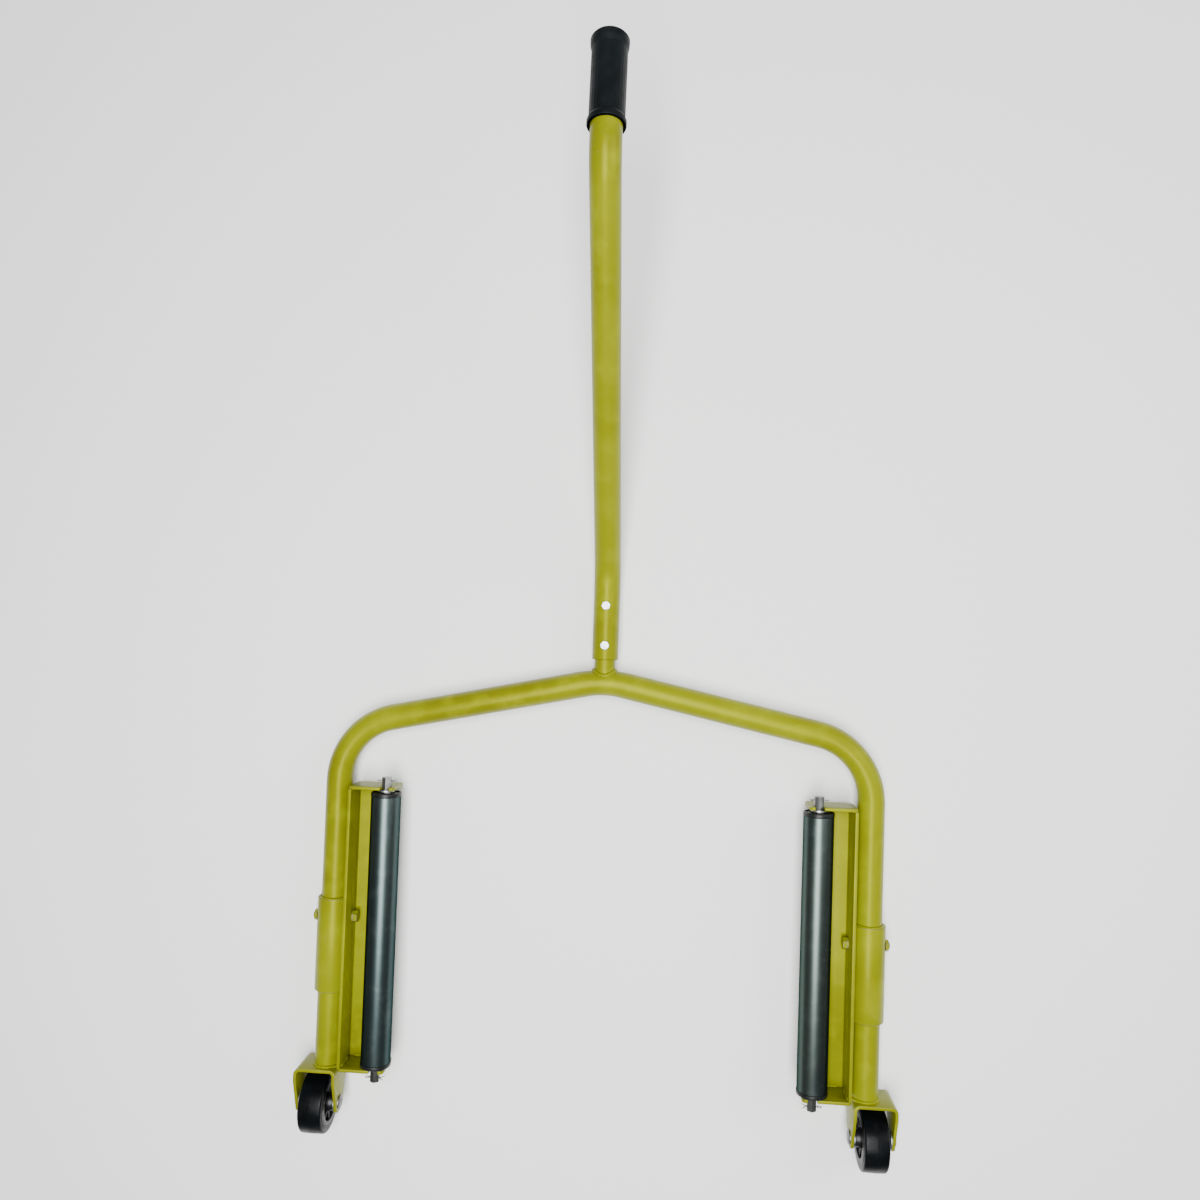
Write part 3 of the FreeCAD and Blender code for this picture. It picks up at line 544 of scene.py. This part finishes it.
def makeGrip():
    total = grip["length"] + grip["cap"]
    cap, inner, outer, rim = (grip[key] for key in ("cap", "inner", "outer", "rim"))
    outline = rounded([
        (0, inner), (grip["length"], inner), (grip["length"], 0), (total, 0),
        (total - 0.0004, rim * 0.55), (total - 0.0016, rim * 0.9, 0.003), (total - cap * 1.1, rim, 0.0015),
        (total - cap * 2.6, rim - 0.0003, 0.004),
        (total - cap * 4, outer, cap), (cap * 1.9, outer, 0.003), (cap * 1.3, rim, 0.0012), (0, rim, 0.0009),
    ])
    bm = turned(outline, Matrix.Identity(4), 120, closed=False)
    # shallow lengthwise flutes between the rims
    for vert in bm.verts:
        out = math.hypot(vert.co.y, vert.co.z)
        along = vert.co.x
        if out < outer - 0.0002 or not cap * 2 < along < total - cap * 4:
            continue
        depth = grip["flutes"] * (0.5 - 0.5 * math.cos(grip["fluteCount"] * math.atan2(vert.co.z, vert.co.y)))
        vert.co.y *= 1 - depth / out
        vert.co.z *= 1 - depth / out
    rise = (handle["elbowAt"] - handle["kneeAt"]) * math.tan(math.radians(handle["rise"]))
    drop = math.radians(handle["drop"])
    reach = handle["endRun"] - grip["length"]
    spot = Vector((0, handle["elbowAt"] + reach * math.cos(drop), rise - reach * math.sin(drop)))
    place = Matrix.Translation(spot) @ Matrix.Rotation(-drop, 4, "X") @ Matrix.Rotation(math.pi / 2, 4, "Z")
    addPiece(moved(bm, place), "grip", gripRubber, "frame", ["handle_grip"])


makeGrip()
print("grip made")


# a hexagonal head or nut lying on its face at z 0, with its top corners turned off
def hexBlock(flats, height):
    bm = bmesh.new()
    corner = flats / 2 / math.cos(math.pi / 6)
    bmesh.ops.create_circle(bm, segments=6, radius=corner, cap_ends=True)
    bottom = list(bm.faces)
    grown = bmesh.ops.extrude_face_region(bm, geom=bottom)["geom"]
    raised = [item for item in grown if isinstance(item, bmesh.types.BMVert)]
    bmesh.ops.translate(bm, vec=(0, 0, height), verts=raised)
    upright = [edge for edge in bm.edges if abs(edge.verts[0].co.z - edge.verts[1].co.z) > height / 2]
    bmesh.ops.subdivide_edges(bm, edges=[edge for edge in bm.edges if edge not in upright], cuts=7)
    bmesh.ops.recalc_face_normals(bm, faces=bm.faces)
    # the turned chamfer: no point stands further out than a cone allows
    for vert in bm.verts:
        out = math.hypot(vert.co.x, vert.co.y)
        if vert.co.z > height / 2:
            vert.co.z -= max(0, out - flats / 2 * 0.97) * 0.6
    top = [face for face in bm.faces if face.normal.z > 0.9]
    bmesh.ops.inset_region(bm, faces=top, thickness=flats * 0.06, depth=0)
    return bm


# a bolt's shank, threaded near its end
def rod(bolt, length):
    radius, chamfer = bolt["radius"], bolt["chamfer"]
    pitch, count = bolt["threads"]
    outline = [(0, 0), (0, radius)]
    along = length - chamfer
    for groove in range(count):
        start = along - pitch * (count - groove)
        outline += [(start, radius), (start + pitch * 0.5, radius * 0.9)]
    outline += [(along, radius), (length, radius - chamfer), (length, 0)]
    return turned(outline, Matrix.Rotation(-math.pi / 2, 4, "Y"), 32, closed=False)


handleBolt = {
    "places": (46 * mm, 97 * mm), "flats": 10 * mm, "head": 4 * mm, "radius": 3 * mm, "nut": 5 * mm,
    "washer": 1.6 * mm, "tip": 1.5 * mm, "chamfer": 0.5 * mm, "threads": (1 * mm, 6),
}
sleeveBolt = {
    "at": 320 * mm, "flats": 13 * mm, "head": 5.3 * mm, "radius": 4 * mm, "nut": 4 * mm,
    "washer": 1.6 * mm, "tip": 1.5 * mm, "chamfer": 0.6 * mm, "threads": (1.25 * mm, 5),
    "outer": 365.7 * mm, "inner": 319.3 * mm,
}
over = Matrix.Rotation(math.pi, 4, "X")


def makeHandleBolts():
    radius = handle["radius"]
    bolts, nuts = bmesh.new(), bmesh.new()
    shank = radius * 2 + handleBolt["washer"] + handleBolt["nut"] + handleBolt["tip"]
    for index, y in enumerate(handleBolt["places"]):
        turn = Matrix.Rotation(0.3 + index * 0.5, 4, "Z")
        top = Matrix.Translation((0, y, radius))
        absorb(bolts, moved(hexBlock(handleBolt["flats"], handleBolt["head"]), top @ turn))
        absorb(bolts, moved(rod(handleBolt, shank), top @ over))
        under = Matrix.Translation((0, y, -radius - handleBolt["washer"]))
        absorb(nuts, moved(hexBlock(handleBolt["flats"], handleBolt["nut"]), under @ over @ turn))
    addPiece(bolts, "handleBolts", brightZinc, "frame", ["handle_bolts"], 28)
    addPiece(nuts, "handleNuts", brightZinc, "frame", ["handle_nuts"], 28)


def makeSleeveBolts():
    bolts, nuts = bmesh.new(), bmesh.new()
    for side in (1, -1):
        outward = Matrix.Rotation(side * math.pi / 2, 4, "Y")
        seat = Matrix.Translation((side * (sleeveBolt["inner"] - sleeveBolt["washer"]), -sleeveBolt["at"], 0))
        head = Matrix.Rotation(-side * math.pi / 2, 4, "Y")
        absorb(bolts, moved(hexBlock(sleeveBolt["flats"], sleeveBolt["head"]), seat @ head))
        clamped = sleeveBolt["outer"] - sleeveBolt["inner"]
        length = clamped + sleeveBolt["washer"] + sleeveBolt["nut"] + sleeveBolt["tip"]
        absorb(bolts, moved(rod(sleeveBolt, length), seat @ outward))
        far = Matrix.Translation((side * sleeveBolt["outer"], -sleeveBolt["at"], 0))
        absorb(nuts, moved(hexBlock(sleeveBolt["flats"], sleeveBolt["nut"]), far @ outward))
    addPiece(bolts, "sleeveBolts", wornPaint, "frame", ["sleeve_bolts"], 28)
    addPiece(nuts, "sleeveNuts", wornPaint, "frame", ["sleeve_nuts"], 28)


makeHandleBolts()
makeSleeveBolts()
print("fasteners made")


roller = {
    "top": 153 * mm, "foot": 501 * mm, "radius": 19 * mm, "wall": 2 * mm, "flange": 5 * mm,
    "capRadius": 19.5 * mm,
    "spigot": 12 * mm, "mouth": 11.3 * mm, "bearing": 14.55 * mm, "plugGap": 0.05 * mm,
}
downRoller = Matrix.Translation((rollerX, 0, rollerZ)) @ Matrix.Rotation(-math.pi / 2, 4, "Z")


def rollerBarrel():
    start, end = roller["top"] + roller["flange"], roller["foot"] - roller["flange"]
    radius, inner = roller["radius"], roller["radius"] - roller["wall"]
    outline = rounded([(start, inner), (start, radius, 0.0007), (end, radius, 0.0007), (end, inner)], 4)
    return turned(outline, downRoller, 96)


# an end cap: its flange has a shallow dish and a raised lip round the bearing
def rollerCap(start, direction):
    flange, spigot, mouth = roller["flange"], roller["spigot"], roller["mouth"]
    out, bore = roller["capRadius"], roller["bearing"]
    fitted = roller["radius"] - roller["wall"] - roller["plugGap"]
    outline = rounded([
        (0.0012, mouth), (0.0002, mouth + 0.0004), (0.0002, mouth + 0.0016), (0.0010, mouth + 0.0024),
        (0.0010, out - 0.0032), (0, out - 0.0024), (0, out, 0.0012), (flange, out, 0.0004),
        (flange, fitted), (flange + spigot, fitted), (flange + spigot, bore), (flange, bore), (flange, mouth),
    ], 4)
    if direction < 0:
        outline = [(-along, radius) for along, radius in outline]
    return turned(outline, downRoller @ Matrix.Translation((start, 0, 0)), 96)


def rollerCaps():
    bm = rollerCap(roller["top"], 1)
    absorb(bm, rollerCap(roller["foot"], -1))
    return bm


rollerBodies = ("roller_right", "roller_left")
addPair(rollerBarrel, "rollerBarrel", rollerZinc, rollerBodies, ["roller_tube"])
addPair(rollerCaps, "rollerCaps", capPlastic, rollerBodies, ["roller_caps"])
print("rollers made")


cotter = {
    "wire": 1.15 * mm, "eye": 2.4 * mm, "leg": 12.6 * mm, "tail": 6 * mm, "spread": 52, "flare": 50,
    "bendRadius": 1.6 * mm, "top": -138.5 * mm, "foot": -516.5 * mm,
}


# one half of the pin as a bent half-round wire, mirrored for the other half
def cotterHalf():
    bm = bmesh.new()
    radius = cotter["wire"] / 2
    centre = Vector((0, 0, radius))
    upright = Matrix.Translation(centre) @ Matrix.Rotation(math.pi / 2, 4, "Y")
    bmesh.ops.create_circle(bm, segments=12, radius=radius, matrix=upright)
    first = list(bm.edges)
    tail = Vector((-1, 0, 0))
    bend = math.radians(cotter["spread"])
    pivot = centre + Vector((0, 0, cotter["bendRadius"]))
    spun = bmesh.ops.spin(bm, geom=first, cent=pivot, axis=(0, 1, 0), angle=bend, steps=6, use_duplicate=False)
    last = [item for item in spun["geom_last"] if isinstance(item, bmesh.types.BMEdge)]
    direction = Matrix.Rotation(bend, 3, "Y") @ tail
    last = extrudeLoop(bm, last, direction * cotter["tail"])
    bmesh.ops.contextual_create(bm, geom=last)
    last = extrudeLoop(bm, first, Vector((cotter["leg"], 0, 0)))
    eyeCentre = Vector((cotter["leg"], 0, radius + cotter["eye"]))
    flare = math.radians(cotter["flare"])
    spun = bmesh.ops.spin(bm, geom=last, cent=eyeCentre, axis=(0, 1, 0), angle=-flare, steps=6,
                          use_duplicate=False)
    last = [item for item in spun["geom_last"] if isinstance(item, bmesh.types.BMEdge)]
    # from the flare the wire runs round the eye to the middle plane
    verts = {vert for edge in last for vert in edge.verts}
    end = sum((vert.co for vert in verts), Vector()) / len(verts)
    outward = Vector((math.cos(flare), 0, math.sin(flare)))
    normal = Vector((math.sin(flare), 0, -math.cos(flare)))
    reach = end.z / math.cos(flare)
    ring = end + normal * reach
    bmesh.ops.spin(bm, geom=last, cent=ring, axis=(0, 1, 0), angle=math.pi - (math.pi / 2 - flare), steps=14,
                   use_duplicate=False)
    return bm


def makeCotters():
    bm = bmesh.new()
    for side in (1, -1):
        for y in (cotter["top"], cotter["foot"]):
            for half in (1, -1):
                place = Matrix.Translation((side * rollerX, y, rollerZ)) @ Matrix.Scale(side, 4, (1, 0, 0))
                centred = Matrix.Translation((-cotter["leg"] / 2, 0, 0))
                absorb(bm, moved(cotterHalf(), place @ centred @ Matrix.Scale(half, 4, (0, 0, 1))))
    addPiece(bm, "cotterPins", brightZinc, "frame", ["cotter_pins"], 60)


makeCotters()
print("cotter pins made")


wheel = {
    "radius": 38 * mm, "width": 32 * mm, "rubber": 10 * mm, "hubRadius": 19 * mm, "hubWidth": 43 * mm,
    "bore": 6.55 * mm, "web": 12 * mm, "rimWall": 5 * mm, "ribs": 8, "ribWidth": 2.6 * mm,
}
onAxle = Matrix.Translation((wheelX, -yoke["axleBelow"], 0))


def wheelTyre():
    half, crown = wheel["width"] / 2, wheel["radius"]
    inside = crown - wheel["rubber"] + 0.00005
    outline = rounded([
        (-half, inside), (-half, crown - 0.0058, 0.0008), (-half + 0.0005, crown - 0.0052),
        (-half + 0.0007, crown - 0.0004, 0.0030), (-0.0004, crown - 0.00002), (0, crown),
        (0.0004, crown - 0.00002), (half - 0.0007, crown - 0.0004, 0.0030),
        (half - 0.0005, crown - 0.0052), (half, crown - 0.0058, 0.0008), (half, inside),
    ], 5)
    return turned(outline, onAxle, 96)


def wheelCore():
    half, webHalf, hubHalf = wheel["width"] / 2, wheel["web"] / 2, wheel["hubWidth"] / 2
    rim = wheel["radius"] - wheel["rubber"]
    under = rim - wheel["rimWall"]
    hub, bore = wheel["hubRadius"], wheel["bore"]
    side = [(webHalf, under, 0.0012), (webHalf, hub * 0.62, 0.0015), (half, hub * 0.60, 0.0006),
            (hubHalf, hub * 0.56, 0.0012), (hubHalf, bore, 0.0006)]
    outline = [(-half, rim, 0.0004), (half, rim, 0.0004), (half, under, 0.0008)] + side
    outline += [(-along, out, *radius) for along, out, *radius in reversed(side)] + [(-half, under, 0.0008)]
    bm = turned(rounded(outline, 3), onAxle, 96)
    ribLength = under - hub * 0.60 + 0.0006
    for index in range(wheel["ribs"]):
        rib = bmesh.new()
        middle = (under + hub * 0.60) / 2
        size = Matrix.Diagonal((wheel["width"] - 0.003, ribLength, wheel["ribWidth"], 1))
        bmesh.ops.create_cube(rib, size=1, matrix=Matrix.Translation((0, middle, 0)) @ size)
        bevelSharp(rib, 0.0007, 2, 30)
        absorb(bm, moved(rib, onAxle @ Matrix.Rotation(math.tau * index / wheel["ribs"], 4, "X")))
    return bm


wheelBodies = ("wheel_right", "wheel_left")
addPair(wheelTyre, "wheelTyre", tyreRubber, wheelBodies, ["tyre"])
addPair(wheelCore, "wheelCore", wheelPlastic, wheelBodies, ["wheel_core"])

rivet = {"radius": 5 * mm, "head": 3 * mm, "headRadius": 9 * mm, "reach": 27.25 * mm}


def axleRivets():
    bm = bmesh.new()
    reach, head = rivet["reach"], rivet["head"]
    dome = ((1, 0), (0.99, 0.25), (0.95, 0.45), (0.85, 0.65), (0.68, 0.82), (0.45, 0.94), (0.2, 1), (0, 1))
    half = [(-reach - head * high, rivet["headRadius"] * wide) for high, wide in dome]
    half += [(-reach, rivet["radius"])]
    other = [(-along, out) for along, out in reversed(half)]
    for side in (1, -1):
        place = Matrix.Translation((side * wheelX, -yoke["axleBelow"], 0))
        absorb(bm, turned(half + other, place, 48, closed=False))
    addPiece(bm, "axleRivets", barSteel, "frame", ["axle_rivets"], 40)


axleRivets()
print("wheels made")


weld = {"ripple": 3.2 * mm, "swell": 0.11, "wander": 0.25 * mm, "step": 0.7 * mm,
        "taper": 4 * mm, "blunt": 0.8 * mm, "drifts": 8}
weldPaint = makePaint("oliveEnamelOverWeld", False)


# Ripples of a hand-laid bead: each ring of the bead swells and dips along its length.
def rippleAt(distance):
    phase = distance / weld["ripple"] % 1
    return 1 + weld["swell"] * (1 - 2 * phase * phase)


# a straight bead from start to end, its centre line on the corner that it fills
def straightBead(start, end, radius):
    draw = random.Random(round(start.length * 100000))
    bm = bmesh.new()
    span = end - start
    length = span.length
    turn = span.to_track_quat("Z", "X").to_matrix().to_4x4()
    bmesh.ops.create_circle(bm, segments=12, radius=radius, cap_ends=False)
    edges = list(bm.edges)
    count = max(6, round(length / weld["step"]))
    bmesh.ops.contextual_create(bm, geom=edges)
    for _ in range(count):
        edges = extrudeLoop(bm, edges, Vector((0, 0, length / count)))
    bmesh.ops.contextual_create(bm, geom=edges)
    drift = [draw.uniform(-1, 1) for _ in range(weld["drifts"])]
    for vert in bm.verts:
        along = vert.co.z
        taper = min(1, (min(along, length - along) + weld["blunt"]) / weld["taper"]) ** 0.5
        swell = rippleAt(along + radius * 0.8 * math.sin(math.atan2(vert.co.y, vert.co.x))) * taper
        sway = weld["wander"] * drift[int(along / length * (weld["drifts"] - 1.01))]
        vert.co.x = vert.co.x * swell + sway * taper
        vert.co.y *= swell
    return moved(bm, Matrix.Translation(start) @ turn)


# a ring bead round a tube's foot: shape gives each point's place from its angle
def ringBead(shape, radius, steps=170):
    bm = bmesh.new()
    bmesh.ops.create_circle(bm, segments=10, radius=radius,
                            matrix=Matrix.Translation((1, 0, 0)) @ Matrix.Rotation(math.pi / 2, 4, "X"))
    bmesh.ops.spin(bm, geom=list(bm.edges) + list(bm.verts), cent=(0, 0, 0), axis=(0, 0, 1), angle=math.tau,
                   steps=steps, use_merge=True, use_duplicate=False)
    bmesh.ops.remove_doubles(bm, verts=bm.verts, dist=0.0000001)
    for vert in bm.verts:
        angle = math.atan2(vert.co.y, vert.co.x)
        middle, outward, normal, run = shape(angle)
        across = math.hypot(vert.co.x, vert.co.y) - 1
        swell = rippleAt(run + 0.5 * across)
        vert.co = middle + (outward * across + normal * vert.co.z) * swell
    return bm


stub = {"radius": 13.6 * mm, "bead": 3.0 * mm, "sink": 0.4 * mm}
onLeg = {"lift": 0.3 * mm, "sleeveOut": 1.2 * mm}


# round the stub where it meets the crown of the yoke
def stubShape(angle):
    radius, crown = stub["radius"], yoke["crownRadius"]
    x, z = radius * math.cos(angle), radius * math.sin(angle)
    sag = crown * (1 / math.cos(math.radians(yoke["armSlope"])) - 1) + x * x / crown / 2
    y = math.sqrt(yoke["radius"] ** 2 - z * z) - sag - stub["sink"]
    outward = Vector((math.cos(angle), 0, math.sin(angle)))
    return Vector((x, y, z)), outward, Vector((0, 1, 0)), (angle + math.pi) * radius


# round a leg: on the fork's web, or at the ends of its sleeve
def roundLeg(y, radius):
    def shape(angle):
        outward = Vector((math.cos(angle), 0, math.sin(angle)))
        middle = Vector((yoke["track"], y, 0)) + outward * radius
        return middle, outward, Vector((0, 1, 0)), (angle + math.pi) * radius
    return shape


rail = {"face": 323.3 * mm, "wall": 4 * mm, "floor": 14 * mm, "top": 150 * mm, "foot": 504 * mm,
        "sleeveTop": 295 * mm, "sleeveFoot": 413 * mm}
stitch = {
    "runs": ((300 * mm, 326 * mm), (342 * mm, 368 * mm), (384 * mm, 410 * mm)), "height": 6.4 * mm,
    "radius": 2.4 * mm, "standOff": 1.4 * mm, "ringRadius": 2.3 * mm, "sleeveRadius": 1.9 * mm,
}
earBead = {"radius": 1.7 * mm, "inset": 0.9 * mm, "low": -3 * mm, "high": 24 * mm,
           "near": 282 * mm, "far": 314 * mm}


def legBeads():
    bm = ringBead(roundLeg(onLeg["lift"] - yoke["legEnd"], yoke["radius"]), stitch["ringRadius"])
    for y in (-rail["sleeveTop"], -rail["sleeveFoot"]):
        absorb(bm, ringBead(roundLeg(y, yoke["radius"] + onLeg["sleeveOut"]), stitch["sleeveRadius"]))
    inner = rail["face"] - rail["wall"]
    floor = rail["wall"] - rail["floor"]
    for side in (1, -1):
        for first, last in stitch["runs"]:
            start = Vector((rail["face"] + stitch["standOff"], -first, side * stitch["height"]))
            absorb(bm, straightBead(start, Vector((start.x, -last, start.z)), stitch["radius"]))
    for y in (-rail["top"] - earBead["inset"], -rail["foot"] + earBead["inset"]):
        upright = Vector((inner, y, earBead["low"])), Vector((inner, y, earBead["high"]))
        level = Vector((earBead["near"], y, floor)), Vector((earBead["far"], y, floor))
        for start, end in (upright, level):
            absorb(bm, straightBead(start, end, earBead["radius"]))
    return bm


addPiece(ringBead(stubShape, stub["bead"]), "stubWeld", weldPaint, "frame", (), 60)
addPair(legBeads, "legWelds", weldPaint, ("frame", "frame"), (), 60)
print("welds laid")


studio = {
    "floor": (0.92, 0.92, 0.915), "size": 14, "world": 0.22,
    "key": {"place": (0.0, -0.15, 2.3), "width": 0.9, "length": 2.0, "power": 128},
    "fill": {"place": (2.2, 0.8, 1.8), "width": 1.2, "length": 2.0, "power": 36},
}


def makeFloor():
    bm = bmesh.new()
    bmesh.ops.create_grid(bm, x_segments=1, y_segments=1, size=studio["size"] / 2)
    mesh = bpy.data.meshes.new("floor")
    bm.to_mesh(mesh)
    bm.free()
    finish = Finish("paleFloor")
    tint = finish.mix(finish.noise(1.3, 2), studio["floor"], [channel * 0.985 for channel in studio["floor"]])
    mesh.materials.append(finish.surface({"Base Color": tint, "Roughness": 0.85}))
    floor = bpy.data.objects.new("floor", mesh)
    bpy.context.scene.collection.objects.link(floor)


# a soft box that faces the middle of the floor
def addLight(name):
    look = studio[name]
    place = Vector(look["place"])
    data = bpy.data.lights.new(name, "AREA")
    data.shape = "RECTANGLE"
    data.size = look["width"]
    data.size_y = look["length"]
    data.energy = look["power"]
    light = bpy.data.objects.new(name, data)
    light.location = place
    light.rotation_euler = (-place).to_track_quat("-Z", "Y").to_euler()
    bpy.context.scene.collection.objects.link(light)


def makeStudio():
    world = bpy.data.worlds.new("studio")
    world.use_nodes = True
    world.node_tree.nodes["Background"].inputs["Color"].default_value = (1, 1, 1, 1)
    world.node_tree.nodes["Background"].inputs["Strength"].default_value = studio["world"]
    bpy.context.scene.world = world
    addLight("key")
    addLight("fill")


view = {"place": (72 * mm, 66 * mm, 1217 * mm), "turn": (0.0337, 0.0655, 0.0338), "lens": 28.1}


def makeCamera():
    data = bpy.data.cameras.new("camera")
    data.sensor_width = 36
    data.lens = view["lens"]
    data.clip_start = 0.05
    camera = bpy.data.objects.new("camera", data)
    turn = Euler(view["turn"], "XYZ").to_matrix().to_4x4()
    camera.matrix_world = layDown @ Matrix.Translation(view["place"]) @ turn
    bpy.context.scene.collection.objects.link(camera)
    bpy.context.scene.camera = camera


makeFloor()
makeStudio()
makeCamera()
print("studio set")
